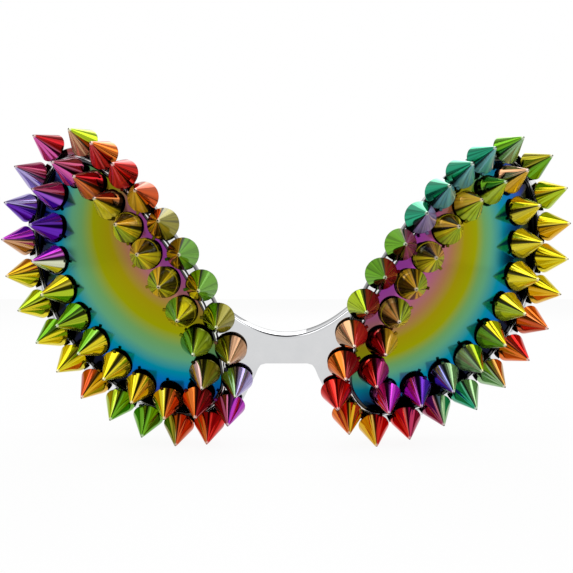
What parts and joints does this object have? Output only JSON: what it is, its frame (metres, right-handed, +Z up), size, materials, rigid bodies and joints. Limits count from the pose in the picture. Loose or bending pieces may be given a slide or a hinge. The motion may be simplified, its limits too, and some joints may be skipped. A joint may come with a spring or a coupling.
{
  "type": "costume glasses",
  "caption": "Oversized costume glasses with wing-shaped mirror lenses, rows of cone spikes round each rim and folding side arms.",
  "frame": {"origin": "middle of the bounding box's base: the table that the lowest spikes and both ear tips rest on", "axes": "+X to the viewer's right as seen from the front, +Y back towards the ears, +Z up"},
  "size_m": [0.1509, 0.1719, 0.0829],
  "materials": {
    "silver_plating": "vacuum-plated plastic, bright silver",
    "mirror_lens": "rainbow mirror coating on plastic",
    "iris_plating": "vacuum-plated plastic in rainbow colours, mirror gloss",
    "hinge_steel": "plain steel",
    "ear_tip_plastic": "satin black"
  },
  "bodies": {
    "front": {"front_frame": "silver_plating", "lens_left": "mirror_lens", "lens_right": "mirror_lens", "outer_spikes_left_nose": "iris_plating", "outer_spikes_left_brow": "iris_plating", "outer_spikes_left_side": "iris_plating", "outer_spikes_left_base": "iris_plating", "outer_spikes_right_nose": "iris_plating", "outer_spikes_right_brow": "iris_plating", "outer_spikes_right_side": "iris_plating", "outer_spikes_right_base": "iris_plating", "inner_spikes_left_nose": "iris_plating", "inner_spikes_left_brow": "iris_plating", "inner_spikes_left_side": "iris_plating", "inner_spikes_left_base": "iris_plating", "inner_spikes_right_nose": "iris_plating", "inner_spikes_right_brow": "iris_plating", "inner_spikes_right_side": "iris_plating", "inner_spikes_right_base": "iris_plating", "hinge_front_left": "hinge_steel", "hinge_front_right": "hinge_steel", "hinge_screw_left": "hinge_steel", "hinge_screw_right": "hinge_steel", "front_rivets_left": "hinge_steel", "front_rivets_right": "hinge_steel"},
    "arm_left": {"side_arm_left": "silver_plating", "ear_tip_left": "ear_tip_plastic", "hinge_arm_left": "hinge_steel", "arm_rivets_left": "hinge_steel"},
    "arm_right": {"side_arm_right": "silver_plating", "ear_tip_right": "ear_tip_plastic", "hinge_arm_right": "hinge_steel", "arm_rivets_right": "hinge_steel"}
  },
  "joints": [
    {"name": "arm_left_fold", "type": "hinge", "parent": "front", "child": "arm_left", "pos_m": [-0.06542, -0.04571, 0.04588], "axis": [0, 0, -1], "range_deg": [0, 90]},
    {"name": "arm_right_fold", "type": "hinge", "parent": "front", "child": "arm_right", "pos_m": [0.06542, -0.04571, 0.04588], "axis": [0, 0, 1], "range_deg": [0, 84]}
  ]
}
